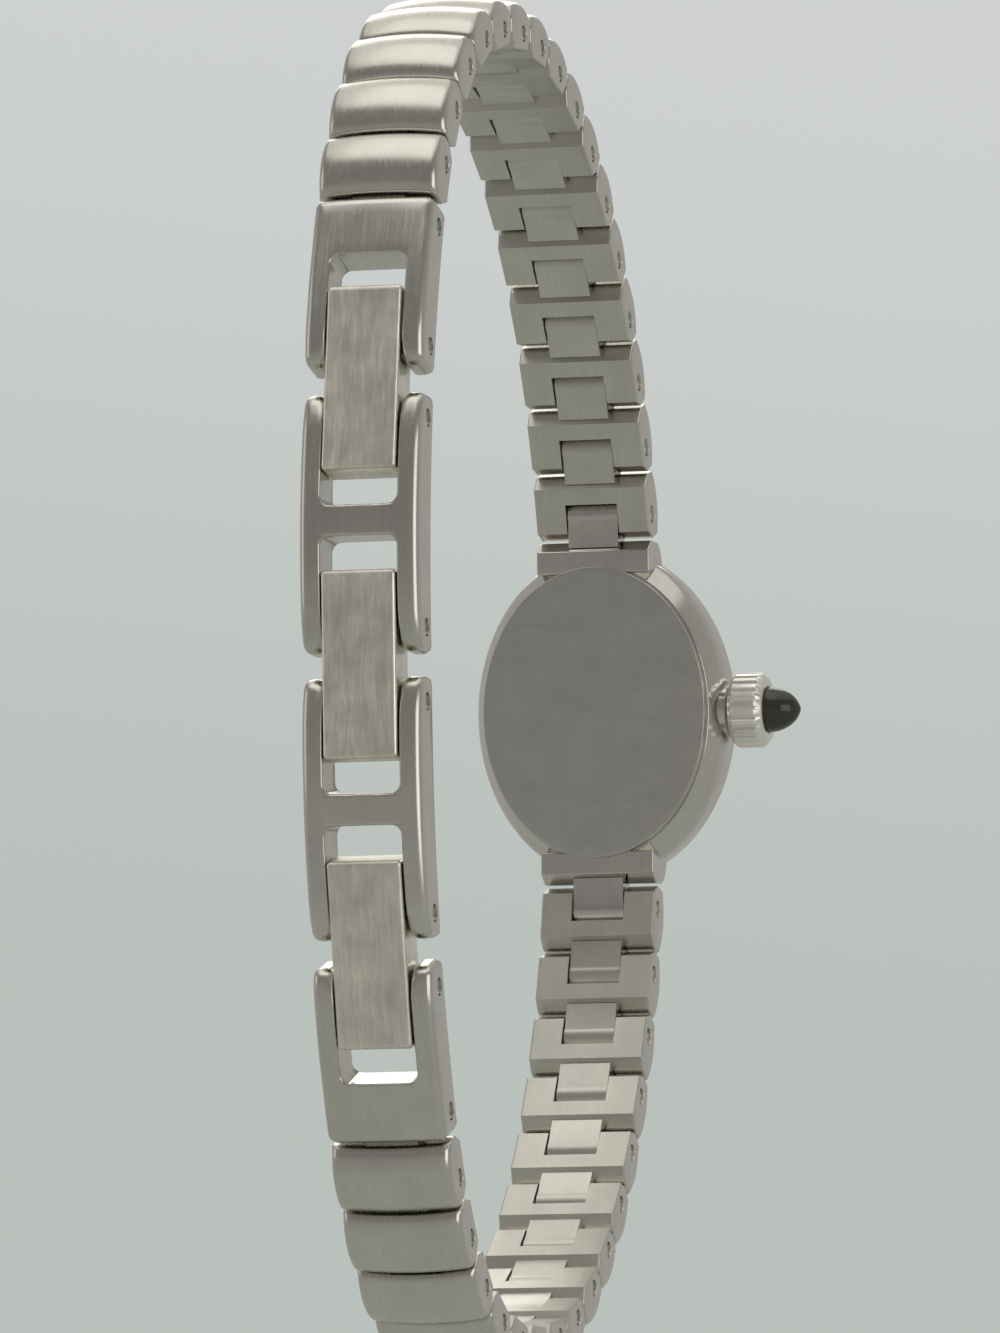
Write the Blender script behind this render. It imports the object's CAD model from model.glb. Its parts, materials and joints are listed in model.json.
# %% [markdown]
# A ladies' bracelet watch in steel, closed into its loop and seen from its clasp side. The packed
# construction model gives every piece its place and its size. This lesson dresses it: each visible
# piece is drawn again as a smooth numpy surface at the same place, and each gets its real finish.

# %% Load the construction model
import json
import math

import bmesh
import bpy
import numpy as np
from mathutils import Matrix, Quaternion, Vector


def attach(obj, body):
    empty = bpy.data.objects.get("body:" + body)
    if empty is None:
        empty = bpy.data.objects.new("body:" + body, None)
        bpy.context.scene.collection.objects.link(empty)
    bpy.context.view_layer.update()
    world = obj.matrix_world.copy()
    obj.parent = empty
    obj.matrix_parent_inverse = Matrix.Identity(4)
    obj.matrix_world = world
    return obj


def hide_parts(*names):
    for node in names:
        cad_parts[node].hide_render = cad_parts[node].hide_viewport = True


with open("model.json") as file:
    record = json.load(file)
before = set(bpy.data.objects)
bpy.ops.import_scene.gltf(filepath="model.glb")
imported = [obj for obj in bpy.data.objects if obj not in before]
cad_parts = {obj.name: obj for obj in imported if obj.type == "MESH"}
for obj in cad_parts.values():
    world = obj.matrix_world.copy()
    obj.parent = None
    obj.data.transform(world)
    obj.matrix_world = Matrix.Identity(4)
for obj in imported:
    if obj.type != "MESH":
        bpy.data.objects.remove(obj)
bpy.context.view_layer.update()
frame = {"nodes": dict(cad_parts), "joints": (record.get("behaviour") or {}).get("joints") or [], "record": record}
MM = 0.001
nodes = frame["nodes"]
pin_at = {j["child"]: np.array(j["pos_m"]) / MM for j in frame["joints"] if j["type"] == "hinge"}

# %% [markdown]
# A watch is photographed with a long lens from about half a metre, so that the near clasp and the
# far head keep nearly the same scale. The camera stands a little to the right of the clasp and a
# little below the middle of the loop, and the watch leans to the left by about a degree. All of these
# are measured from where the gaps between the pieces and the tips of the frames fall in the picture.

# %% Camera
IMAGE_H = 1333
PX_PER_MM_NEAR = 21.2
NEAR_MM = 540
LOOP_DEPTH_MM = 21.6
AZIMUTH, ELEVATION, LEAN = 15.5, -3.6, 0.8
AIM_RIGHT_MM, AIM_UP_MM = 0.5, 1.2

turn, rise = math.radians(AZIMUTH), math.radians(ELEVATION)
back = Vector((math.sin(turn) * math.cos(rise), -math.cos(turn) * math.cos(rise), math.sin(rise)))
looking = (-back).to_track_quat("-Z", "Y")
right, up = looking @ Vector((1, 0, 0)), looking @ Vector((0, 1, 0))
camera = bpy.data.objects.new("camera", bpy.data.cameras.new("camera"))
bpy.context.scene.collection.objects.link(camera)
bpy.context.scene.camera = camera
camera.data.sensor_width = 36
camera.data.lens = 36 * PX_PER_MM_NEAR * NEAR_MM / IMAGE_H
camera.data.clip_start, camera.data.clip_end = 0.01, 20
aim = (right * AIM_RIGHT_MM + up * AIM_UP_MM) * MM
camera.location = aim + back * (NEAR_MM + LOOP_DEPTH_MM) * MM
camera.rotation_mode = "QUATERNION"
camera.rotation_quaternion = looking @ Quaternion((0, 0, 1), math.radians(-LEAN))
print("lens:", round(camera.data.lens, 1), "mm, camera at", [round(v, 3) for v in camera.location])

# %% [markdown]
# Every finish is a small net of shader nodes. One helper adds a node with its settings and links,
# and one turns an ordinary sRGB hex colour, as read off a colour chart, into the linear light
# values that the renderer counts in.

# %% Two helpers for the finishes
def hex_linear(text):
    """sRGB to linear: a value up to 0.04045 is divided by 12.92, and a larger one goes through a
    power of 2.4."""
    s = np.array([int(text[i:i + 2], 16) for i in (1, 3, 5)]) / 255
    linear = np.where(s <= 0.04045, s / 12.92, ((s + 0.055) / 1.055) ** 2.4)
    return (*linear.tolist(), 1.0)


def add(tree, kind, inputs=None, **settings):
    """Adds one node; inputs maps a socket's name or number to a value or to another node's output."""
    node = tree.nodes.new("ShaderNode" + kind)
    for name, value in settings.items():
        setattr(node, name, value)
    for socket, value in (inputs or {}).items():
        if isinstance(value, bpy.types.NodeSocket):
            tree.links.new(value, node.inputs[socket])
        else:
            node.inputs[socket].default_value = value
    return node


print("mid grey #808080 is", round(hex_linear("#808080")[0], 3), "in linear light")

# %% [markdown]
# Steel shows only what it reflects, so the room around it is most of the picture. The room is a plain
# pale grey: dim where the viewer stands, paler towards the table, palest behind the watch, and bright
# overhead, as in a light tent with its lamps above. Its wall is what the camera sees behind the watch.

# %% The studio room
scene = bpy.context.scene
scene.view_settings.view_transform = "Standard"
WALL_TOP, WALL_BOTTOM = hex_linear("#CED1D0"), hex_linear("#BAC1BC")
FRONT_DIM, TABLE_EDGE, TABLE_DIM, BELOW, BACK_PALE, OVERHEAD = 0.24, 0.34, 0.24, 0.6, 0.44, 0.82

world = bpy.data.worlds.new("light_tent")
scene.world = world
world.use_nodes = True
tree = world.node_tree
tree.nodes.clear()
direction = add(tree, "TexCoord").outputs["Generated"]
height = add(tree, "VectorMath", {0: direction, 1: (0, 0, 1)}, operation="DOT_PRODUCT").outputs["Value"]
depth = add(tree, "VectorMath", {0: direction, 1: (0, 1, 0)}, operation="DOT_PRODUCT").outputs["Value"]
# Each step down has the height where it starts, the height where it ends, and the radiance below it.
low = FRONT_DIM
for start, end, level in ((0.18, -0.08, TABLE_EDGE), (-0.25, -0.6, TABLE_DIM), (-0.85, -0.95, BELOW)):
    step = add(tree, "MapRange", {0: height, 1: start, 2: end},
               interpolation_type="SMOOTHSTEP").outputs[0]
    low = add(tree, "Mix", {0: step, 2: low, 3: level}).outputs[0]
behind = add(tree, "MapRange", {0: depth, 1: -0.6, 2: 0.8}, interpolation_type="SMOOTHSTEP").outputs[0]
wall = add(tree, "Mix", {0: behind, 2: low, 3: BACK_PALE}).outputs[0]
ceiling = add(tree, "MapRange", {0: height, 1: 0.71, 2: 0.8}, interpolation_type="SMOOTHSTEP").outputs[0]
level = add(tree, "Mix", {0: ceiling, 2: wall, 3: OVERHEAD}).outputs[0]
reflected = add(tree, "Background", {0: hex_linear("#FFFDF8"), 1: level})
aslant = add(tree, "VectorMath", {0: direction, 1: (0.15, 0, 1)},
             operation="DOT_PRODUCT").outputs["Value"]
fade = add(tree, "MapRange", {0: aslant, 1: -0.01, 2: 0.085}, interpolation_type="SMOOTHSTEP").outputs[0]
backdrop = add(tree, "Mix", {0: fade, 6: WALL_BOTTOM, 7: WALL_TOP}, data_type="RGBA").outputs[2]
seen = add(tree, "Background", {0: backdrop, 1: 1.0})
straight = add(tree, "LightPath").outputs["Is Camera Ray"]
either = add(tree, "MixShader", {0: straight, 1: reflected.outputs[0], 2: seen.outputs[0]})
add(tree, "OutputWorld", {0: either.outputs[0]})
print("room radiance: front", FRONT_DIM, "back", BACK_PALE, "overhead", OVERHEAD)

# %% [markdown]
# Four softboxes give the metal its shape: a large one overhead, which makes the bright bands across the
# upper links, one on each side, which edge the rounded arms, and one behind, which lights the dial. Their
# power is the radiance wanted, times the lamp's area, times pi. The floor is a disc of pale paper that
# fades out towards its rim. It lies low, because the watch hangs free, as it does on a display cuff, and
# its opened bracelet reaches 105 mm below the head's middle.

# %% Softboxes and floor
for name, place, size, radiance in (("overhead", (-0.02, -0.1, 0.42), 0.34, 0.45),
                                    ("left", (-0.45, -0.12, 0.12), 0.25, 0.5),
                                    ("right", (0.4, -0.25, 0.05), 0.3, 1.1),
                                    ("behind", (-0.15, 0.45, 0.35), 0.35, 1.5)):
    lamp = bpy.data.lights.new(name, "AREA")
    lamp.size = size
    lamp.energy = radiance * size * size * math.pi
    lamp.color = hex_linear("#FFFCF6")[:3]
    softbox = bpy.data.objects.new(name, lamp)
    scene.collection.objects.link(softbox)
    softbox.location = place
    softbox.rotation_euler = (-Vector(place)).to_track_quat("-Z", "Y").to_euler()

FLOOR_R, FLOOR_Z, FLOOR_SIDES, FADE_FROM = 0.45, -0.107, 96, 0.2
ring = np.linspace(0, 2 * math.pi, FLOOR_SIDES, endpoint=False)
disc = np.stack([FLOOR_R * np.cos(ring), FLOOR_R * np.sin(ring), np.full(FLOOR_SIDES, FLOOR_Z)], 1)
floor_mesh = bpy.data.meshes.new("floor")
floor_mesh.from_pydata(disc.tolist(), [], [list(range(FLOOR_SIDES))])
floor = bpy.data.objects.new("floor", floor_mesh)
scene.collection.objects.link(floor)

paper = bpy.data.materials.new("pale_paper")
paper.use_nodes = True
tree = paper.node_tree
tree.nodes.clear()
spot = add(tree, "TexCoord").outputs["Object"]
reach = add(tree, "VectorMath", {0: spot}, operation="LENGTH").outputs["Value"]
gone = add(tree, "MapRange", {0: reach, 1: FADE_FROM, 2: FLOOR_R},
           interpolation_type="SMOOTHSTEP").outputs[0]
fibre = add(tree, "TexNoise", {"Vector": spot, "Scale": 900.0, "Detail": 3.0}).outputs[0]
tone = add(tree, "Mix", {0: fibre, 6: hex_linear("#BEC2BE"), 7: hex_linear("#C6CAC6")}, data_type="RGBA")
matt = add(tree, "BsdfDiffuse", {0: tone.outputs[2]})
clear = add(tree, "BsdfTransparent")
faded = add(tree, "MixShader", {0: gone, 1: matt.outputs[0], 2: clear.outputs[0]})
add(tree, "OutputMaterial", {0: faded.outputs[0]})
floor_mesh.materials.append(paper)
print("floor at", FLOOR_Z / MM, "mm")

# %% [markdown]
# The bracelet is stainless steel with two finishes on each piece: the flat and domed faces are brushed
# to a satin, and the long rounded edges and sides are polished. It could be one image of brushed metal
# laid on every piece, but noise stretched along the brushing keeps its lines at their real width. Each
# piece carries three attributes for this: lie, its own coordinates in millimetres, which the brushing
# follows wherever the piece hangs on the loop, polish, which is 1 on the polished edges, and inner,
# which is 1 on the faces that lie on the wrist.

# %% Steel
STEEL = "#C9C7BF"
TUMBLED, ROUGH_SPREAD, BELT_SWAY, POLISHED_BUMP = 0.42, 0.06, 0.5, 0.12


def steel(name, colour, satin, polished, lines_per_mm, groove_mm, across="x", contrast=1.14, long=0.2):
    """Brushed steel: noise drawn out along the brushing, fine across it, drives roughness and bump.
    A coarse noise bends its lines a little, as a hand-held belt does. long is the noise per
    millimetre along the brushing, and contrast lightens its streaks. The inner faces are only
    tumbled, so they are rougher."""
    material = bpy.data.materials.new(name)
    material.use_nodes = True
    tree = material.node_tree
    tree.nodes.clear()
    lie = add(tree, "Attribute", attribute_name="lie").outputs["Vector"]
    polish = add(tree, "Attribute", attribute_name="polish").outputs["Fac"]
    scale = {"x": (lines_per_mm, lines_per_mm, long), "z": (long, lines_per_mm, lines_per_mm)}[across]
    sway = add(tree, "TexNoise", {"Vector": lie, "Scale": 0.45}).outputs["Color"]
    swayed = add(tree, "VectorMath", {0: sway, 1: (BELT_SWAY,) * 3, 2: lie},
                 operation="MULTIPLY_ADD").outputs[0]
    drawn = add(tree, "Mapping", {0: swayed, 3: scale}).outputs[0]
    brushed = add(tree, "TexNoise", {"Vector": drawn, "Scale": 1.0, "Detail": 4.0,
                                     "Roughness": 0.65}).outputs[0]
    cloudy = add(tree, "TexNoise", {"Vector": lie, "Scale": 0.6, "Detail": 2.0}).outputs[0]
    dark, light = hex_linear(colour), [min(1.0, c * contrast) for c in hex_linear(colour)]
    mottle = add(tree, "Math", {0: brushed, 1: cloudy}, operation="MULTIPLY").outputs[0]
    share = add(tree, "MapRange", {0: mottle, 1: 0.1, 2: 0.42}).outputs[0]
    tint = add(tree, "Mix", {0: share, 6: dark, 7: light}, data_type="RGBA").outputs[2]
    grain = add(tree, "MapRange", {0: brushed, 1: 0.3, 2: 0.7, 3: satin - ROUGH_SPREAD,
                                   4: satin + ROUGH_SPREAD}).outputs[0]
    outside = add(tree, "Mix", {0: polish, 2: grain, 3: polished}).outputs[0]
    inner = add(tree, "Attribute", attribute_name="inner").outputs["Fac"]
    rough = add(tree, "Mix", {0: inner, 2: outside, 3: TUMBLED}).outputs[0]
    ease = add(tree, "MapRange", {0: polish, 3: 1.0, 4: POLISHED_BUMP}).outputs[0]
    bump = add(tree, "Bump", {"Strength": ease, "Distance": groove_mm * MM, "Height": brushed}).outputs[0]
    shader = add(tree, "BsdfPrincipled", {"Base Color": tint, "Metallic": 1.0,
                                          "Roughness": rough, "Normal": bump})
    add(tree, "OutputMaterial", {0: shader.outputs[0]})
    return material


# Satin: fine lines along the bracelet, about 12 to the millimetre, drawn at 7 so that they show.
satin_steel = steel("satin_steel_with_polished_edges", STEEL, 0.25, 0.2, 7, 0.0003)
# Bars: the same steel brushed coarser and straight, about 8 lines to the millimetre.
brushed_steel = steel("coarse_brushed_steel_bar", "#D3D0C6", 0.5, 0.25, 5, 0.004,
                      contrast=1.5, long=0.4)
# Case: polished all over.
polished_steel = steel("polished_steel_case", "#CCC9C3", 0.14, 0.12, 5, 0.0003)
# Crown: bead-blasted before its flutes are cut, so paler and softer than the case.
crown_steel = steel("pale_blasted_steel_crown", "#F0EEE8", 0.36, 0.3, 9, 0.0004)
# Back: a satin that runs across the back.
back_steel = steel("satin_steel_back", "#C2C1BC", 0.36, 0.3, 8, 0.001, "z")
print("steels:", [m.name for m in bpy.data.materials])

# %% [markdown]
# All pieces are made the same way: a row of points round a section, and many rows one after another,
# is a skin. Numpy works out all rows at once, and the mesh takes them in one call. Neighbouring shells
# of one piece are kept apart, as the pin is from the ear that holds it. Rings that close on an axis
# have a radius of a thousandth of a millimetre there, so their middle is a tiny face, never a hole.

# %% From rows of points to a clean mesh
SAME_POINT, AXIS = 1e-4, 0.001


def skin(rows, join=False, cap=True):
    """Quads between neighbouring rings of m points; join links the last ring to the first, and cap
    closes the end rings with one flat face each. rows is (n, m, 3)."""
    n, m = rows.shape[:2]
    index = np.arange(n * m).reshape(n, m)
    ahead = np.roll(index, -1, 0) if join else index[1:]
    here = index if join else index[:-1]
    quads = np.stack([here, np.roll(here, -1, 1), np.roll(ahead, -1, 1), ahead], -1).reshape(-1, 4)
    faces = quads.tolist()
    if cap and not join:
        faces += [index[0].tolist(), index[-1].tolist()]
    return rows.reshape(-1, 3), faces


def clean_mesh(name, shells):
    """One mesh of closed shells: points closer than a tenth of a micrometre are merged, and the
    normals are turned out."""
    points, faces, start = [], [], 0
    for p, f in shells:
        points.append(p)
        faces += [[i + start for i in face] for face in f]
        start += len(p)
    mesh = bpy.data.meshes.new(name)
    mesh.from_pydata(np.concatenate(points).tolist(), [], faces)
    bm = bmesh.new()
    bm.from_mesh(mesh)
    bmesh.ops.remove_doubles(bm, verts=bm.verts, dist=SAME_POINT)
    bmesh.ops.delete(bm, geom=[v for v in bm.verts if not v.link_faces], context="VERTS")
    bmesh.ops.recalc_face_normals(bm, faces=bm.faces)
    bm.to_mesh(mesh)
    bm.free()
    return mesh


def cut(mesh, shells):
    """The mesh less the shells, by an exact boolean."""
    blank = bpy.data.objects.new("blank", mesh)
    tool = bpy.data.objects.new("tool", clean_mesh("tool", shells))
    for o in (blank, tool):
        scene.collection.objects.link(o)
    modifier = blank.modifiers.new("cut", "BOOLEAN")
    modifier.object, modifier.operation, modifier.solver = tool, "DIFFERENCE", "EXACT"
    result = bpy.data.meshes.new_from_object(blank.evaluated_get(bpy.context.evaluated_depsgraph_get()))
    for o in (blank, tool):
        bpy.data.objects.remove(o)
    return result


def array_of(mesh, what="co"):
    """The mesh's points or normals as an (n, 3) array."""
    out = np.zeros(len(mesh.vertices) * 3, np.float32)
    source = mesh.vertices if what == "co" else mesh.vertex_normals
    source.foreach_get("co" if what == "co" else "vector", out)
    return out.reshape(-1, 3).astype(float)


def piece(node, mesh, to_world, material, sharp=38, shift=0.0, shiny=False, inner_faces=1.0):
    """Puts a copy of a mesh drawn in its own millimetres in the CAD node's place, with its attributes.
    polish rises from 0 to 1 as the normal turns to the side, from 0.2 to 0.6 of its length. inner
    rises as the normal turns to the wrist, from 0.3 to 0.8. A mapping that mirrors has a negative
    determinant and turns the faces inside out, so they are flipped back."""
    own = mesh.copy()
    own.name = node
    local, normal = array_of(own), array_of(own, "normal")
    world_points = to_world(local) * MM
    own.vertices.foreach_set("co", world_points.astype(np.float32).ravel())
    if np.linalg.det(to_world(np.eye(3)) - to_world(np.zeros((3, 3)))) < 0:
        own.flip_normals()
    lie = own.attributes.new("lie", "FLOAT_VECTOR", "POINT")
    lie.data.foreach_set("vector", (local + [0, shift, 0]).astype(np.float32).ravel())
    side = np.clip((np.abs(normal[:, 0]) - 0.2) / 0.4, 0, 1)
    polish = own.attributes.new("polish", "FLOAT", "POINT")
    polish.data.foreach_set("value", (np.ones(len(side)) if shiny else side).astype(np.float32))
    to_wrist = inner_faces * np.clip((-normal[:, 1] - 0.3) / 0.5, 0, 1)
    inner = own.attributes.new("inner", "FLOAT", "POINT")
    inner.data.foreach_set("value", to_wrist.astype(np.float32))
    own.shade_smooth()
    own.set_sharp_from_angle(angle=math.radians(sharp))
    own.materials.clear()
    own.materials.append(material)
    obj = bpy.data.objects.new(node + "_dressed", own)
    obj.modifiers.new("flat_faces_stay_flat", "WEIGHTED_NORMAL").keep_sharp = True
    scene.collection.objects.link(obj)
    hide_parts(node)
    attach(obj, body_of[node])
    return obj


record = frame["record"]
slot_of = {s["node"]: s["material_slot"] for s in record["subparts"]}
body_of = {n: b for b, members in record["behaviour"]["bodies"].items() for n in members}
print("slots:", sorted(set(slot_of.values())))

# %% [markdown]
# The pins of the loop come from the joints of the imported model. The lower half holds one joint for
# each pin, from the head to the middle of the clasp, and the upper half mirrors it. A piece drawn
# upright, with x across the wrist, o outwards and z from its lower to its upper pin, is carried to
# its two pins by one turn in the plane of the loop.

# %% The pins of the loop, and how a piece is carried to them
LINKS = 16
walk = [f"lower_link_{i:02d}" for i in range(LINKS, 0, -1)] + ["frame_4", "bar_3", "frame_3", "bar_2"]
pins = np.array([[pin_at[n][1], -pin_at[n][2]] for n in reversed(walk)])


def carried(a, b, mirrored):
    """Maps own (x, o, z) to the loop: pin a, plus z along the line from a to b, plus o square to it."""
    along = (b - a) / np.linalg.norm(b - a)
    outward = np.array([-along[1], along[0]])

    def to_world(p):
        yz = a + p[:, 2:3] * along + p[:, 1:2] * outward
        return np.column_stack([p[:, 0], yz[:, 0], yz[:, 1] * (-1 if mirrored else 1)])
    return to_world


print("pins on the half loop:", len(pins), "first", pins[0].round(2), "last", pins[-1].round(2))

# %% [markdown]
# A link is a barrel-shaped block: domed along the bracelet, slightly crowned across it, with its long
# edges rounded and both inner corners bevelled so that the bracelet can bend. Its upper end holds the
# hinge pin and a slot, its lower end is the tongue that enters the next link. It could be a bevelled
# box with a subdivision surface, but a section drawn round its side view and swept across the wrist
# keeps every radius at its real size.

# %% Sections
# The band's width and its two faces, all in millimetres, as all sizes from here on.
BAND_W, BAND_OUT, BAND_IN, EDGE_R, SIDE_R = 5.9, 1.45, 0.85, 0.35, 0.1
# The link's pitch, its reach past the pin, the gap between links, and the height and rise of its back.
LINK_PITCH, EAR, LINK_GAP, LINK_EDGE, DOME, CROWNED = 3.45, 1.2, 0.14, 1.25, 0.5, 0.32
# The pin, the bore that runs on it, its depth under the side face, and the tongue with its play.
PIN_R, RUN_R, SINK, TONGUE_W, TONGUE_R, PLAY = 0.42, 0.46, 0.1, 2.6, 0.72, 0.06
SLOT_HALF, SLOT_TOP = TONGUE_W / 2 + PLAY, TONGUE_R + PLAY
QUARTER = np.linspace(0, math.pi / 2, 6)


def strokes(*parts):
    """A closed outline of straight strokes: each part is (start, count), and runs to the next
    part's start."""
    starts = np.array([p[0] for p in parts], float)
    ends = np.roll(starts, -1, 0)
    return np.concatenate([s + (e - s) * np.linspace(0, 1, p[1], endpoint=False)[:, None]
                           for s, e, p in zip(starts, ends, parts)])


def inward(outline):
    """Unit vectors square to a closed outline, pointing in: the chord of the two neighbours, turned
    a quarter."""
    chord = np.roll(outline, -1, 0) - np.roll(outline, 1, 0)
    x, y = outline.T
    ccw = np.sign(np.sum(x * np.roll(y, -1) - y * np.roll(x, -1)))
    return ccw * np.column_stack([-chord[:, 1], chord[:, 0]]) / np.linalg.norm(chord, axis=1)[:, None]


def rounded_side(outline, half_w, radius):
    """The rings of one side's quarter round, from the flat of the piece to its side face: at the
    angle t a point stands radius(1 - sin t) inside the side face and radius(1 - cos t) inside the
    outline."""
    t = QUARTER[:, None]
    moved = outline + inward(outline) * (radius * (1 - np.cos(t)))[..., None]
    x = half_w - radius * (1 - np.sin(t))
    return np.concatenate([np.broadcast_to(x, t.shape[:1] + radius.shape)[..., None], moved], -1)


def mirror_rings(rings):
    """The same rings on the other side, in reverse order."""
    return rings[::-1] * [-1, 1, 1]


def tube(r, x0, x1, z, sides=32, bevel=0.05):
    """A round bar across the wrist with bevelled ends: circles of its radius carried along x."""
    a = np.linspace(0, 2 * math.pi, sides, endpoint=False)
    xs = np.array([x0, x0 + bevel, x1 - bevel, x1])[:, None]
    rs = np.array([r - bevel, r, r, r - bevel])[:, None]
    return skin(np.stack([xs + 0 * a, rs * np.cos(a), z + rs * np.sin(a)], -1))


print("quarter rounds in", len(QUARTER) - 1, "steps")

# %% [markdown]
# The link's side view is one closed line of points. It is carried across the wrist as rings: the side
# face with the pin's end sunk in it, the quarter round, the flat up to the slot, the slot's wall, and the
# thin web over the slot, then the same mirrored. Both side views, with the slot and without it, have the
# same number of points, so the rings always match. Such a link could also be cut with booleans, but 32
# of them would be slow, and their shading would break at the cuts.

# %% One link
lo, hi = EAR + LINK_GAP, LINK_PITCH + EAR
mid, half = (lo + hi) / 2, (hi - lo) / 2
dome_r = (half ** 2 + DOME ** 2) / (2 * DOME)
BEVEL, BEVEL_TOP, CORNER, END_TOP = 0.5, -0.15, 0.8, 1.0


def dome(z):
    """Height of the link's back: a circle through its two ends that rises by DOME in the middle."""
    return LINK_EDGE + DOME - dome_r + np.sqrt(dome_r ** 2 - (z - mid) ** 2)


def link_section(slotted):
    """The side view of a link as 54 points (o, z): round the inner face, the upper end, the back and
    the lower end."""
    slot_end, top = LINK_PITCH - SLOT_TOP, SLOT_TOP
    in_slot, at_bevel = [(top, slot_end), (top, hi - 1)], [(-BAND_IN, hi - BEVEL), (BEVEL_TOP, hi)]
    third, fourth = in_slot if slotted else at_bevel
    inner = strokes(((-BAND_IN, lo + BEVEL), 4), ((-BAND_IN, slot_end), 6), (third, 3), (fourth, 4),
                    ((top, hi), 2), ((END_TOP, hi), 1))
    t = np.linspace(0, 1, 6, endpoint=False)[:, None]
    shoulder = dome(hi - CORNER)
    slope = (half - CORNER) / math.sqrt(dome_r ** 2 - (half - CORNER) ** 2)
    knee = np.array([shoulder - CORNER * slope, hi])
    start, end = np.array([END_TOP, hi]), np.array([shoulder, hi - CORNER])
    corner = (1 - t) ** 2 * start + 2 * t * (1 - t) * knee + t ** 2 * end
    z = np.linspace(hi - CORNER, lo + CORNER, 15)
    back = np.column_stack([dome(z), z])
    lower = (corner * [1, -1] + [0, lo + hi])[::-1]
    foot = strokes(((END_TOP, lo), 5), ((BEVEL_TOP, lo), 3), ((-BAND_IN, lo + BEVEL), 1))[:8]
    return np.concatenate([inner[:19], corner[1:], back, lower[:-1], foot])


def crowned(rows):
    """Lowers the back towards the sides: by CROWNED times the square of x over the half width."""
    weight = np.clip((rows[..., 1] - 0.2) / 0.9, 0, 1)
    rows[..., 1] -= CROWNED * (rows[..., 0] / (BAND_W / 2)) ** 2 * weight
    return rows


def pin_end(side, z, hole_r=0.44, depth=SINK, rim=0.03, well=0.12, bevel=0.05):
    """Rings from a side face's last ring into the pin's recess: the hole's rim, its floor, the pin's
    rim and its bevelled end. Each point keeps its angle round the pin."""
    spoke = side[:, 1:] - [0, z]
    spoke /= np.linalg.norm(spoke, axis=1)[:, None]
    x, pin_r = side[:, 0], hole_r - 0.04
    steps = [(hole_r + rim, 0), (hole_r, rim), (hole_r, depth + well), (pin_r, depth + well),
             (pin_r, depth + bevel), (pin_r - bevel, depth), (AXIS, depth)]
    return np.stack([np.column_stack([x - d, spoke[:, 0] * r, z + spoke[:, 1] * r]) for r, d in steps])


full, slotted = link_section(False), link_section(True)
radius = np.clip((full[:, 0] - 0.9) / 0.3, 0, 1) * (EDGE_R - SIDE_R) + SIDE_R
side = rounded_side(full, BAND_W / 2, radius)
flat = side[0]
between = np.linspace(1, 0, 4)[1:-1, None, None]
wall = np.column_stack([np.full(len(full), SLOT_HALF), full])
inner_wall = np.column_stack([np.full(len(full), SLOT_HALF), slotted])
middle = np.stack([inner_wall * [s, 1, 1] for s in (0.5, 0, -0.5)])
to_slot = flat * between + wall * (1 - between)
right_half = np.concatenate([pin_end(side[-1], LINK_PITCH)[::-1], side[::-1], to_slot, wall[None],
                             inner_wall[None]])
link_rows = crowned(np.concatenate([right_half, middle, mirror_rings(right_half)]))

angle = np.linspace(0, 2 * math.pi, 32, endpoint=False)
NECK, NECK_FROM, NECK_SPREAD, NECK_TOP = TONGUE_R - PLAY, 0.3, 1.8, lo + 0.3
tongue_out = np.column_stack([TONGUE_R * np.sin(angle), -TONGUE_R * np.cos(angle)])
# The round's upper part is drawn up into a straight neck that enters the link's body.
above = tongue_out[:, 1] > NECK_FROM
tongue_out[above] = np.column_stack([np.clip(tongue_out[above, 0] * NECK_SPREAD, -NECK, NECK),
                                     np.full(above.sum(), NECK_TOP)])
tongue_in = np.column_stack([RUN_R * np.sin(angle), -RUN_R * np.cos(angle)])


def tongue(z=0.0, sign=1.0):
    """A tongue with its bore: the outer ring carried across the wrist, and the bore's ring carried
    back."""
    half_w = TONGUE_W / 2
    steps = [(-half_w, tongue_out), (half_w, tongue_out), (half_w, tongue_in), (-half_w, tongue_in)]
    rows = [np.column_stack([np.full(len(line), x), line[:, 0], z + sign * line[:, 1]])
            for x, line in steps]
    return skin(np.stack(rows), join=True)


link_pin = tube(PIN_R, -SLOT_HALF - 0.2, SLOT_HALF + 0.2, LINK_PITCH)
link_mesh = clean_mesh("link", [skin(link_rows), tongue(), link_pin])
for i in range(1, LINKS + 1):
    for half_name, mirrored in (("upper", False), ("lower", True)):
        piece(f"{half_name}_link_{i:02d}", link_mesh, carried(pins[i + 2], pins[i + 3], mirrored),
              satin_steel, shift=7.0 * i + (3.5 if mirrored else 0))
print("links:", 2 * LINKS, "with", len(link_mesh.polygons), "faces each")

# %% [markdown]
# The clasp side is four open frames. Two are C-shaped and two are H-shaped, and all are gently curved
# along the wrist, with finger-like arms whose tips are rounded in plan. A frame could be a bevelled
# plate with a cut window. Here each quarter is a stroke: one line follows the window's edge, one the
# outside, and the section between them is carried along. Its height falls off near each edge as a
# quarter circle of the distance to that edge, so the rounding runs evenly round tips and corners.

# %% Frames
H_PITCH, C_PITCH, BAR_PITCH, ARM_TIP, ARM_W = 10, 6.1, 3.5, 1.2, 1.06
C_SOLID, CROSS_L, CURVE_R, CROWN_FROM, CROWN_RUN, LEAST_FLAT = 3, 1.5, 60, 3, 4, 0.12
# The rounding at the outside, at the window, round the tips and at the inner face.
OUTER_E, WINDOW_E, TIP_E, INNER_E, TIP_BEVEL, TIP_EASE = 0.46, 0.12, 0.46, 0.1, 0.3, (0.2, 1.1)
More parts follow.
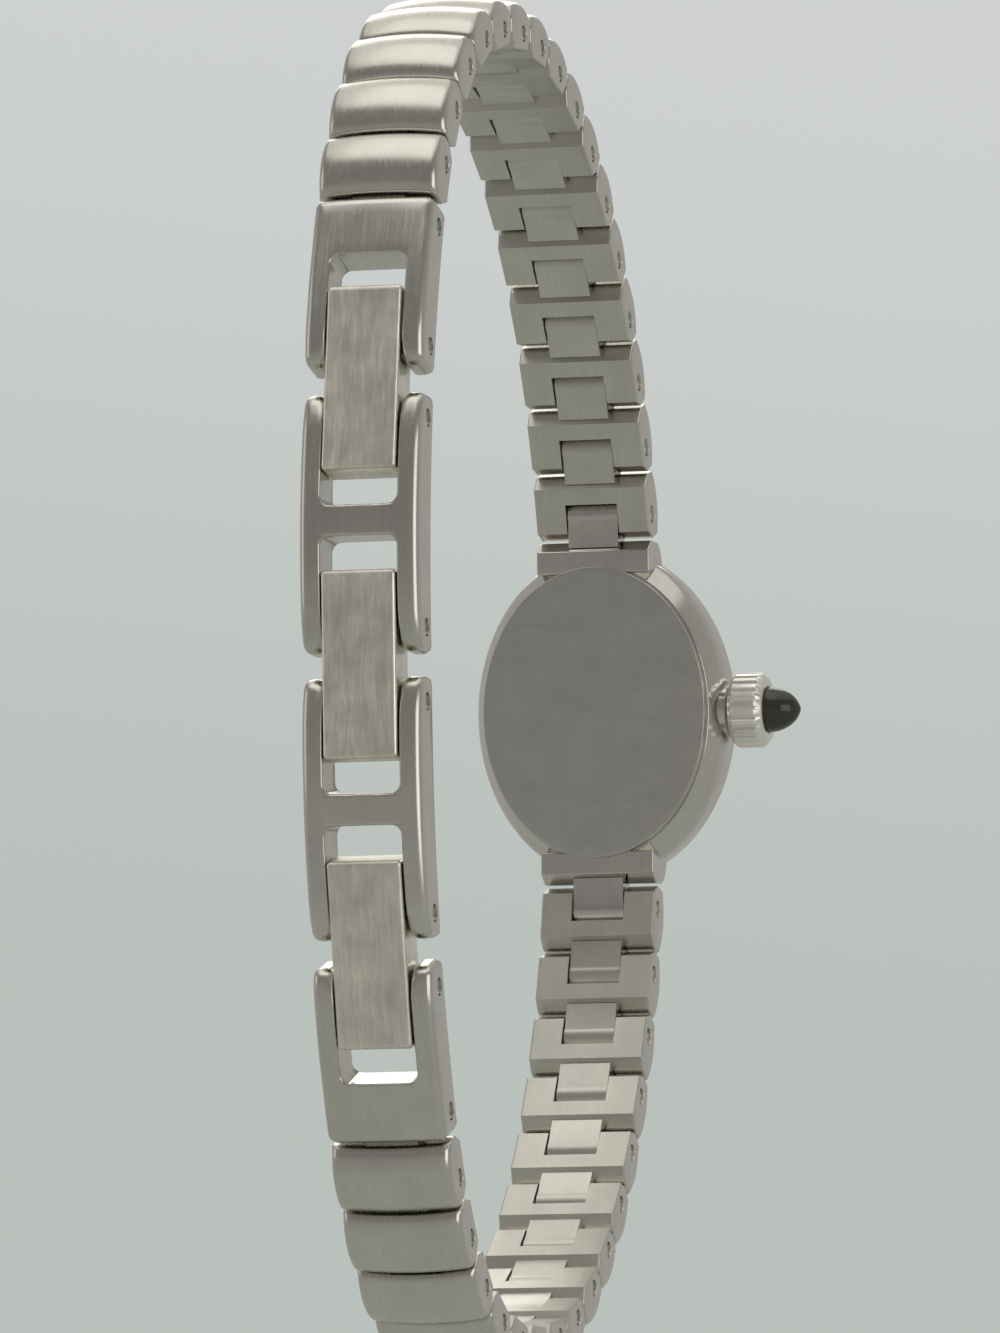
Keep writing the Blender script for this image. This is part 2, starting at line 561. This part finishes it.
# The face falls away over the last 2 mm of an arm. The long frames' face is the more curved one.
TIP_RUN, TIP_ARC, H_FACE_R = 2.0, 6.0, 32
OPEN_HALF = BAND_W / 2 - ARM_W
TIP_L, TIP_POWER, WINDOW_CORNER, OUTER_CORNER = 0.6, 2 / 2.7, 0.5, 0.45
PIN_WELL, PIN_GAP = 0.22, 0.02


def fall(distance, e):
    """How far a quarter round of radius e lies below the face at a distance from the edge."""
    d = np.clip(e - distance, 0, e)
    return e - np.sqrt(np.maximum(e * e - d * d, 0))


def nearest(points, line, e):
    """For each point its distance to a line of straight pieces, and the edge radius given there. The
    foot on each piece lies at the dot product along it over its length squared, kept in 0 to 1."""
    start, along = line[:-1], np.diff(line, axis=0)
    from_start = points[:, None] - start
    foot = np.clip(np.sum(from_start * along, 2) / np.maximum(np.sum(along ** 2, 1), 1e-12), 0, 1)
    gap = np.linalg.norm(from_start - foot[..., None] * along, axis=2)
    k = gap.argmin(1)
    row = np.arange(len(points))
    return gap[row, k], e[k] + (e[k + 1] - e[k]) * foot[row, k]


def frame_quarter(window, outside, pitch, seam_from=None, end_bevel=0.0, bow=0.0):
    """Rows of the stroke between the two lines, each a closed section: the face, the outer wall, the
    inner face and the window's wall. window and outside are (n, 2) arrays of (x, z) from the arm's
    tip onwards. bow lowers the face by that times the square of the distance from the middle."""
    real = window if seam_from is None else window[:seam_from]
    w_e = np.interp(real[:, 1] + ARM_TIP, TIP_EASE, [TIP_E, WINDOW_E])
    b_e = np.full(len(outside), OUTER_E)
    length = np.linalg.norm(outside - window, axis=1)[:, None]
    near_w = WINDOW_E * (1 - np.cos(QUARTER))
    near_b = OUTER_E * (1 - np.cos(np.linspace(0, math.pi / 2, 8)))[::-1]
    squeeze = np.minimum(1, length / (WINDOW_E + OUTER_E + LEAST_FLAT))
    first, last = near_w * squeeze, length - near_b * squeeze
    core = first[:, -1:] + (last[:, :1] - first[:, -1:]) * np.linspace(0, 1, 6)[1:-1]
    share = np.concatenate([first, core, last], 1) / np.maximum(length, 1e-9)
    plan = window[:, None] + (outside - window)[:, None] * share[..., None]
    flat_plan = plan.reshape(-1, 2)
    (dw, ew), (db, eb) = nearest(flat_plan, real, w_e), nearest(flat_plan, outside, b_e)
    top = BAND_OUT - np.maximum(fall(dw, ew), fall(db, eb))
    tip_cut = np.clip(TIP_BEVEL - (flat_plan[:, 1] + ARM_TIP), 0, TIP_BEVEL)
    end_cut = np.clip(end_bevel - (outside[:, 1].max() - flat_plan[:, 1]), 0, end_bevel)
    low = -BAND_IN + np.maximum.reduce([fall(dw, INNER_E), fall(db, INNER_E), tip_cut, end_cut])
    run = np.clip(TIP_RUN - ARM_TIP - flat_plan[:, 1], 0, TIP_RUN)
    top -= TIP_ARC - np.sqrt(TIP_ARC ** 2 - run ** 2) + bow * (flat_plan[:, 1] - pitch / 2) ** 2
    solid = end_bevel * np.clip((flat_plan[:, 1] - CROWN_FROM) / CROWN_RUN, 0, 1)
    top -= CROWNED * (flat_plan[:, 0] / (BAND_W / 2)) ** 2 * solid
    top, low = top.reshape(plan.shape[:2]), low.reshape(plan.shape[:2])

    def column(k):
        """Two points down the wall at one end of each section."""
        steps = np.array([1 / 3, 2 / 3])
        o = top[:, [k]] + (low[:, [k]] - top[:, [k]]) * steps
        return np.dstack([plan[:, [k, k], 0], o, plan[:, [k, k], 1]])

    face = np.dstack([plan[..., 0], top, plan[..., 1]])
    under = np.dstack([plan[..., 0], low, plan[..., 1]])[:, ::-1]
    rows = np.concatenate([face, column(-1), under, column(0)[:, ::-1]], 1)
    points, faces = skin(rows, cap=False)
    faces = [f for f in faces if np.abs(points[f][:, 0]).max() > 1e-6]
    arc_z = points[:, 2] - pitch / 2
    inside = math.sqrt(CURVE_R ** 2 - pitch ** 2 / 4)
    points[:, 1] = np.sqrt((CURVE_R + points[:, 1]) ** 2 - arc_z ** 2) - inside
    return points, faces


def mirrored_shell(shell, axis, about=0.0):
    """The shell reflected in the plane where the axis has the value about."""
    points = shell[0].copy()
    points[:, axis] = 2 * about - points[:, axis]
    return points, shell[1]


def arm_lines(end_z):
    """The two sides of an arm, from its tip up: a superellipse tip, then straight to where the
    window's corner begins."""
    a = math.pi / 2 * np.linspace(0, 1, 16) ** 1.6
    x_mid, w = BAND_W / 2 - ARM_W / 2, ARM_W / 2
    z = -ARM_TIP + TIP_L * (1 - np.cos(a) ** TIP_POWER)
    s = np.sin(a) ** TIP_POWER
    run = np.linspace(-ARM_TIP + TIP_L, end_z - WINDOW_CORNER, 8)[1:]
    window = np.column_stack([np.append(x_mid - w * s, np.full(7, OPEN_HALF)), np.append(z, run)])
    outside = np.column_stack([np.append(x_mid + w * s, np.full(7, BAND_W / 2)), np.append(z, run)])
    return window, outside


def fillet(x, z, r, count):
    """A quarter circle inside the corner (x, z), from its side to its top: count points after the
    first."""
    t = np.linspace(0, math.pi / 2, count + 1)[1:]
    return np.column_stack([x - r + r * np.cos(t), z - r + r * np.sin(t)])


def to_middle(x, z, count=7):
    """Points from x to the middle of the band at the height z, without the first."""
    return np.column_stack([np.linspace(x, 0, count + 1)[1:], np.full(count, z)])


def c_frame():
    """Two mirrored strokes: each goes up an arm and round the window's corner to the middle of the
    solid end. The slot for the next link's tongue is cut afterwards."""
    top = C_PITCH + EAR
    end = top - C_SOLID
    window, outside = arm_lines(end)
    window = np.concatenate([window, fillet(OPEN_HALF, end, WINDOW_CORNER, 14),
                             to_middle(OPEN_HALF - WINDOW_CORNER, end)])
    climb = np.linspace(end - WINDOW_CORNER, top - OUTER_CORNER, 8)[1:]
    outside = np.concatenate([outside, np.column_stack([np.full(7, BAND_W / 2), climb]),
                              fillet(BAND_W / 2, top, OUTER_CORNER, 7),
                              to_middle(BAND_W / 2 - OUTER_CORNER, top)])
    one = frame_quarter(window, outside, C_PITCH, end_bevel=BEVEL)
    mesh = clean_mesh("c_frame", [one, mirrored_shell(one, 0)])
    deep, near, far = -BAND_OUT, C_PITCH - SLOT_TOP, top + 1
    box = np.array([(deep, near), (SLOT_TOP, near), (SLOT_TOP, far), (deep, far)])
    slot = skin(np.stack([np.column_stack([np.full(4, x), box]) for x in (-SLOT_HALF, SLOT_HALF)]))
    return drilled(cut(mesh, [slot]), (0, C_PITCH))


def h_frame():
    """Four mirrored strokes: each goes up an arm, round the window's corner and into a quarter of
    the cross-bar."""
    middle_z = H_PITCH / 2
    end = middle_z - CROSS_L / 2
    window, outside = arm_lines(end)
    edge = to_middle(OPEN_HALF - WINDOW_CORNER, end)
    rounded, plain = WINDOW_E * (1 - np.cos(QUARTER[1:])), np.linspace(WINDOW_E, CROSS_L / 2, 5)[1:]
    seam_z = end + np.append(rounded, plain)
    window = np.concatenate([window, fillet(OPEN_HALF, end, WINDOW_CORNER, 8), edge])
    seam_from = len(window)
    window = np.concatenate([window, np.column_stack([np.zeros(len(seam_z)), seam_z])])
    climb = np.linspace(end - WINDOW_CORNER, middle_z, len(window) - len(outside) + 1)[1:]
    outside = np.concatenate([outside, np.column_stack([np.full(len(climb), BAND_W / 2), climb])])
    bow = (1 / H_FACE_R - 1 / CURVE_R) / 2
    one = frame_quarter(window, outside, H_PITCH, seam_from=seam_from, bow=bow)
    other = mirrored_shell(one, 0)
    shells = [one, other, mirrored_shell(one, 2, middle_z), mirrored_shell(other, 2, middle_z)]
    return drilled(clean_mesh("h_frame", shells), (0, H_PITCH))


def drilled(mesh, heights):
    """Sinks a recess round each pin's end and sets the pin in it."""
    w = BAND_W / 2
    spans = ((-w - 1, PIN_WELL - w), (w - PIN_WELL, w + 1))
    body = cut(mesh, [tube(PIN_R + PIN_GAP, x0, x1, z, bevel=0.0) for z in heights for x0, x1 in spans])
    pins_in = clean_mesh("pins", [tube(PIN_R - PIN_GAP / 2, SINK - w, w - SINK, z) for z in heights])
    bm = bmesh.new()
    bm.from_mesh(body)
    bm.from_mesh(pins_in)
    bm.to_mesh(body)
    bm.free()
    return body


c_mesh, h_mesh = c_frame(), h_frame()
piece("frame_1", c_mesh, carried(pins[2], pins[3], False), satin_steel, shift=1)
piece("frame_4", c_mesh, carried(pins[2], pins[3], True), satin_steel, shift=21)
piece("frame_2", h_mesh, carried(pins[0], pins[1], False), satin_steel, shift=41)
piece("frame_3", h_mesh, carried(pins[0], pins[1], True), satin_steel, shift=61)
print("frames:", len(c_mesh.polygons), "and", len(h_mesh.polygons), "faces")

# %% [markdown]
# Three bars join the frames through the windows. They are plain solid blocks of the same steel with
# narrow rounds along their edges, brushed coarser than the frames. The top one is the clasp bar: its
# upper part is a plate that snaps over the top frame's pin, so it is thinner there. A box with a bevel
# modifier gives nearly the same block, but not the clasp's arc, so both are side views carried across.

# %% Bars
BAR_L, BAR_OUT, BAR_IN, BAR_ROUND, INNER_ROUND, PLATE_IN, HEEL_END = 9, 1.5, 0.6, 0.2, 0.06, 0.42, 2.9
OUTER_CUT, INNER_CUT, PLATE_CUT = 1.45 * BAR_ROUND, 0.1, 0.09
bar_half = OPEN_HALF - PLAY
over = (BAR_L - BAR_PITCH) / 2


def bar_mesh(name, outline):
    """The side view carried across, with a quarter round at each side that is wider outside than at
    the wrist. Each corner of the side view is cut back by 1.42 times the round or more, so that the
    round never crosses itself."""
    radius = np.where(outline[:, 0] > 0.5, BAR_ROUND, INNER_ROUND)
    rings = rounded_side(outline, bar_half, radius)
    return clean_mesh(name, [skin(np.concatenate([rings[::-1], mirror_rings(rings[::-1])]))])


def soft_outline(corners, cut_back, count=5):
    """A closed outline with each corner replaced by a quadratic curve that starts and ends cut_back
    from it."""
    corners = np.array(corners, float)
    before, after = np.roll(corners, 1, 0) - corners, np.roll(corners, -1, 0) - corners
    before /= np.linalg.norm(before, axis=1)[:, None]
    after /= np.linalg.norm(after, axis=1)[:, None]
    t = np.linspace(0, 1, count)[None, :, None]
    c = np.broadcast_to(np.asarray(cut_back, float), len(corners))[:, None, None]
    start, end = corners[:, None] + before[:, None] * c, corners[:, None] + after[:, None] * c
    return ((1 - t) ** 2 * start + 2 * t * (1 - t) * corners[:, None] + t ** 2 * end).reshape(-1, 2)


low_z, high_z = -over, BAR_PITCH + over
block = soft_outline([(-BAR_IN, low_z), (-BAR_IN, high_z), (BAR_OUT, high_z), (BAR_OUT, low_z)],
                     [INNER_CUT, INNER_CUT, OUTER_CUT, OUTER_CUT])
plain_bar = bar_mesh("bar", block)
# The thick part ends in an arc round the lower pin that clears the upper pin.
heel_r = BAR_PITCH - RUN_R - PLAY
heel_z = math.sqrt(heel_r ** 2 - PLATE_IN ** 2)
arc = np.linspace(math.atan2(PLATE_IN, heel_z), math.atan2(-BAR_IN, HEEL_END), 7)
heel = np.column_stack([np.sin(arc), np.cos(arc)]) * heel_r
plate = soft_outline([(PLATE_IN, high_z), (BAR_OUT, high_z), (BAR_OUT, low_z), (-BAR_IN, low_z)],
                     [PLATE_CUT, OUTER_CUT, OUTER_CUT, INNER_CUT])
clasp_bar = bar_mesh("clasp_bar", np.concatenate([plate, heel[::-1]]))
piece("bar_1", clasp_bar, carried(pins[1], pins[2], False), brushed_steel, shift=5)
middle_bar = carried(np.array([pins[0][0], -pins[0][1]]), pins[0], False)
piece("bar_2", plain_bar, middle_bar, brushed_steel, shift=25)
piece("bar_3", plain_bar, carried(pins[1], pins[2], True), brushed_steel, shift=45)
print("bars:", len(plain_bar.polygons), "faces")

# %% [markdown]
# The head is an oval case, turned as a round and squeezed across the wrist to about 0.79 of its height.
# Each of its round pieces is a profile carried round the axis, as the screw modifier would do, but
# with the squeeze worked in. A real case like this is pressed, turned and polished all over. The lug
# blocks are solid ends that take the last links' pins on tongues of their own.

# %% The head: case, back and lugs
CASE_W, CASE_H, CASE_WALL, RIM_D = 13.2, 16.8, 1.5, 5.7
BACK_T, BACK_DROP, LUG_END, LUG_FOOT, LUG_TOP, FIT = 0.48, 1.1, 8.7, 7.05, 2.31, 0.02
STEM_DEPTH, TUBE_R, TUBE_FROM = 2.43, 1.4, 4.6
case_r, squeeze_x = CASE_H / 2, CASE_W / CASE_H
cavity_r = case_r - CASE_WALL
lug_y = pins[-1][0]
back_y = lug_y - BACK_DROP


def turned(profile, sides=160, across=squeeze_x, join=False):
    """A profile of (radius, depth) carried round the head's axis, with x squeezed to the oval."""
    a = np.linspace(0, 2 * math.pi, sides, endpoint=False)
    r, d = profile[:, :1], profile[:, 1:]
    return skin(np.stack([across * r * np.cos(a), d + 0 * a, r * np.sin(a)], -1), join=join)


def on_head(p):
    """Own (x, depth, z) to the loop's frame."""
    return p + [0, back_y, 0]


# The profile runs from the back's edge over the outside to the rim, then down the cavity's steps.
seat_r, ledge_r = cavity_r + 0.3, cavity_r - 0.45
case_corners = [(case_r - 0.9, 0.5), (case_r - 0.1, 1.58), (case_r, 2.08), (case_r, 3.4),
                (case_r - 0.15, 3.8), (case_r - 0.75, 5.2), (case_r - 1, 5.6), (case_r - 1.15, RIM_D),
                (cavity_r, RIM_D), (cavity_r, 5.02), (ledge_r, 5.02), (ledge_r, 4.28), (cavity_r, 4.28),
                (cavity_r, 1.3), (seat_r, 1.3), (seat_r, 0.5)]
case_cuts = [0.05, 0.24, 0.2, 0.18, 0.18, 0.12, 0.08, 0.04, 0.03, 0.03] + [0.02] * 6
case_shell = turned(soft_outline(case_corners, case_cuts), join=True)

lug_corners = [(-BAND_IN, LUG_FOOT), (-BAND_IN, LUG_END - BEVEL), (BEVEL_TOP, LUG_END), (1.3, LUG_END),
               (1.75, LUG_END - 0.4), (LUG_TOP, LUG_FOOT)]
lug_outline = soft_outline(lug_corners, [0.12, 0.06, 0.06, 0.2, 0.2, 0.5])
lug_rings = rounded_side(lug_outline, BAND_W / 2, np.interp(lug_outline[:, 0], [0.9, 1.3], [0.08, 0.25]))
lug_block = skin(np.concatenate([lug_rings[::-1], mirror_rings(lug_rings[::-1])]))
lug_tongue = tongue(LUG_END + LINK_GAP + EAR, -1.0)
lug_shells = [(p + [0, BACK_DROP, 0], f) for p, f in (lug_block, lug_tongue)]
tube_points, tube_faces = tube(TUBE_R, TUBE_FROM, CASE_W / 2 + FIT, 0.0, sides=48)
crown_tube = (tube_points + [0, STEM_DEPTH, 0], tube_faces)
shells = [case_shell, crown_tube] + lug_shells + [mirrored_shell(s, 2) for s in lug_shells]
piece("case", clean_mesh("case", shells), on_head, polished_steel, sharp=30, inner_faces=0.0)

back_r = case_r - 1
back_profile = soft_outline([(AXIS, 0), (back_r - 0.3, 0), (back_r, 0), (back_r, BACK_T), (AXIS, BACK_T)],
                            [AXIS / 2, 0.01, 0.08, 0.03, AXIS / 2])
back_mesh = clean_mesh("caseback", [turned(back_profile, join=True)])
piece("caseback", back_mesh, on_head, back_steel, sharp=30, inner_faces=0.0)
print("case oval", CASE_W, "by", CASE_H, "mm, back at y", round(back_y, 2))

# %% [markdown]
# The crown is a small fluted steel wheel, and its pointed cabochon is a dark polished stone set in its
# end. The flutes are round-bottomed grooves, so the crown's radius is the smaller one of its turned
# profile and of the fluted circle. An array of 24 cutters and a boolean would do as well, but one
# formula keeps the grooves' ends clean. The stone is turned from an ogive, the arc of a pointed arch.

# %% Crown and cabochon
CROWN_D, CROWN_T, CROWN_GAP, FLUTES, FLUTE_DEPTH, FLUTE_HALF = 3.8, 1.8, 0.15, 24, 0.12, 0.3
CAB_D, CAB_H, CAB_SEAT, CAB_BLUNT = 2.3, 1.75, 0.5, 0.12
crown_x = CASE_W / 2 + FIT + CROWN_GAP


def turned_on_stem(along, radius_at):
    """Rings round the stem: x is given for each ring, and radius for each ring and each angle."""
    a = np.linspace(0, 2 * math.pi, radius_at.shape[1], endpoint=False)
    y, z = STEM_DEPTH + radius_at * np.sin(a), radius_at * np.cos(a)
    return np.stack([along[:, None] + 0 * a, y, z], -1)


around = np.linspace(0, 2 * math.pi, FLUTES * 10, endpoint=False)
offset = (around * FLUTES / (2 * math.pi) + 0.5) % 1 - 0.5
groove = FLUTE_DEPTH * np.clip(1 - (np.abs(offset) / FLUTE_HALF) ** 2, 0, 1)
crown_r, cab_r = CROWN_D / 2, CAB_D / 2
crown_profile = soft_outline([(AXIS, 0), (crown_r - 0.25, 0), (crown_r, 0.25), (crown_r, CROWN_T - 0.35),
                              (crown_r - 0.35, CROWN_T), (cab_r + 0.08, CROWN_T),
                              (cab_r + 0.02, CROWN_T - 0.1), (AXIS, CROWN_T - CAB_SEAT)],
                             [AXIS / 2, 0.06, 0.06, 0.08, 0.1, 0.03, 0.03, AXIS / 2])
crown_radius = np.minimum(crown_profile[:, :1], crown_r - groove)
crown_rows = turned_on_stem(crown_x + crown_profile[:, 1], crown_radius)
crown_mesh = clean_mesh("crown", [skin(crown_rows, join=True)])
piece("crown", crown_mesh, on_head, crown_steel, sharp=30, inner_faces=0.0)

ogive = (cab_r ** 2 + CAB_H ** 2) / (2 * cab_r)
stone_h = CAB_H - CAB_BLUNT
stone_rise = stone_h * np.sin(np.linspace(0, math.pi / 2, 40))
stone_r = cab_r - ogive + np.sqrt(ogive ** 2 - stone_rise ** 2)
stone_r = stone_r * np.sqrt(np.clip(1 - (stone_rise / stone_h) ** 16, 0, 1)) + AXIS
cab_x = crown_x + CROWN_T - CAB_SEAT + FIT + np.concatenate([[0, 0], CAB_SEAT + stone_rise])
cab_radius = np.concatenate([[AXIS, cab_r], stone_r])[:, None] * np.ones(64)
cab_mesh = clean_mesh("cabochon", [skin(turned_on_stem(cab_x, cab_radius))])
print("crown at x", round(crown_x, 2), "mm, ogive radius", round(ogive, 2), "mm")

# %% [markdown]
# The stone is opaque and almost black, with a hint of green. Such a stone has an index near 1.54, and
# its polish is nearly perfect; faint cloudy bands keep it from looking like plastic. The crystal is a
# low dome of clear glass, closed underneath, so that light bends in it as in the real one. The dial,
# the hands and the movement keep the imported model's shapes, and get the finishes that such parts have:
# pale enamel, blackened steel, gilt and bright brass, nickel, rubber, green laminate and copper wire.

# %% Stone, glass and the other finishes
def finish(name, colour_a, colour_b, scale_per_mm, rough, metallic=0.0, bump_mm=0.0, detail=3.0, **more):
    """A plain finish: noise on the object's own coordinates varies the colour, the roughness and
    the bump."""
    material = bpy.data.materials.new(name)
    material.use_nodes = True
    tree = material.node_tree
    tree.nodes.clear()
    spot = add(tree, "TexCoord").outputs["Object"]
    grain = add(tree, "TexNoise", {"Vector": spot, "Scale": scale_per_mm / MM,
                                   "Detail": detail}).outputs[0]
    tint = add(tree, "Mix", {0: grain, 6: hex_linear(colour_a), 7: hex_linear(colour_b)},
               data_type="RGBA").outputs[2]
    rough_at = add(tree, "MapRange", {0: grain, 1: 0.3, 2: 0.7, 3: rough * 0.85,
                                      4: rough * 1.15}).outputs[0]
    inputs = {"Base Color": tint, "Metallic": metallic, "Roughness": rough_at}
    if bump_mm:
        inputs["Normal"] = add(tree, "Bump", {"Distance": bump_mm * MM, "Height": grain}).outputs[0]
    shader = add(tree, "BsdfPrincipled", {**inputs, **more})
    add(tree, "OutputMaterial", {0: shader.outputs[0]})
    return material


# Dark cabochon stone: polished, so it gives small hard highlights; its clouds are about 1 mm across.
stone = finish("dark_cabochon_stone", "#24261C", "#3E4133", 0.8, 0.1, IOR=1.54)
# Mineral crystal: clear, with the faintest green in its edge.
glass = finish("mineral_crystal", "#F4F8F6", "#FAFCFB", 0.2, 0.02,
               **{"Transmission Weight": 1.0, "IOR": 1.52})
# Dial: off-white enamel over brass, with a soft eggshell surface.
enamel = finish("off_white_enamel_dial", "#E6E3DA", "#EEECE4", 2.0, 0.35, bump_mm=0.002,
                **{"Coat Weight": 0.3})
# Gilt brass of the plate and bridge, with a fine grained surface.
gilt = finish("gilt_brass_plate", "#CDB06A", "#D9BF7E", 6.0, 0.34, metallic=1.0, bump_mm=0.003)
# Wheels are cut from brass and left bright.
wheel_brass = finish("bright_cut_brass", "#D6B868", "#E2C87F", 5.0, 0.25, metallic=1.0, bump_mm=0.001)
# Hands: steel blackened by oxidation, so that they read against the pale dial.
black_steel = finish("black_oxidised_steel_hands", "#1C1D20", "#2A2B2F", 6.0, 0.3, metallic=0.9,
                     bump_mm=0.001)
# Stem, lever and rotor: plain bright steel, lightly grained.
bright_steel = finish("bright_grained_steel", "#B9B9B8", "#C8C8C6", 6.0, 0.24, metallic=1.0,
                      bump_mm=0.001)
# Nickel-plated cell can.
nickel = finish("nickel_plated_can", "#C6C4BE", "#D0CEC8", 4.0, 0.28, metallic=1.0, bump_mm=0.001)
# Nitrile rubber seal: matt black.
nitrile = finish("nitrile_rubber_seal", "#161616", "#202020", 8.0, 0.75, bump_mm=0.002)
# Green solder mask over glass-epoxy laminate, semi-gloss, with its weave at about 0.4 mm.
solder_mask = finish("green_solder_mask", "#12402A", "#1B5237", 2.5, 0.3, bump_mm=0.002)
# Enamelled copper wire: each turn about 0.03 mm, drawn as a 0.12 mm ripple so that it shows.
copper = finish("enamelled_copper_wire", "#8A3A16", "#B0572A", 8.0, 0.3, metallic=0.6, bump_mm=0.01)

piece("cabochon", cab_mesh, on_head, stone, sharp=60, shiny=True)
CRYSTAL_RISE, CRYSTAL_T, CRYSTAL_EDGE = 0.5, 0.68, 0.03
crystal_r = cavity_r - FIT
under = RIM_D - CRYSTAL_T + FIT
t = np.linspace(0, 1, 24)
ball_r = (crystal_r ** 2 + CRYSTAL_RISE ** 2) / (2 * CRYSTAL_RISE)
ball = np.sqrt(ball_r ** 2 - (crystal_r * (1 - t)) ** 2)
upper = np.column_stack([crystal_r * (1 - t) + AXIS * t, RIM_D + CRYSTAL_RISE - ball_r + ball])
lower = [(AXIS, under), (crystal_r - CRYSTAL_EDGE, under), (crystal_r, under + CRYSTAL_EDGE)]
lens = np.concatenate([lower, upper])
piece("crystal", clean_mesh("crystal", [turned(lens)]), on_head, glass, sharp=30, shiny=True)

finishes = {"gasket": nitrile, "dial": enamel, "hands": black_steel, "movement": gilt, "cell": nickel,
            "board": solder_mask, "coil": copper, "train_brass": wheel_brass, "train_steel": bright_steel}
kept = [n for n in nodes if slot_of[n] in finishes]
for n in kept:
    nodes[n].data.materials.clear()
    nodes[n].data.materials.append(finishes[slot_of[n]])
print("kept from the construction model:", kept)
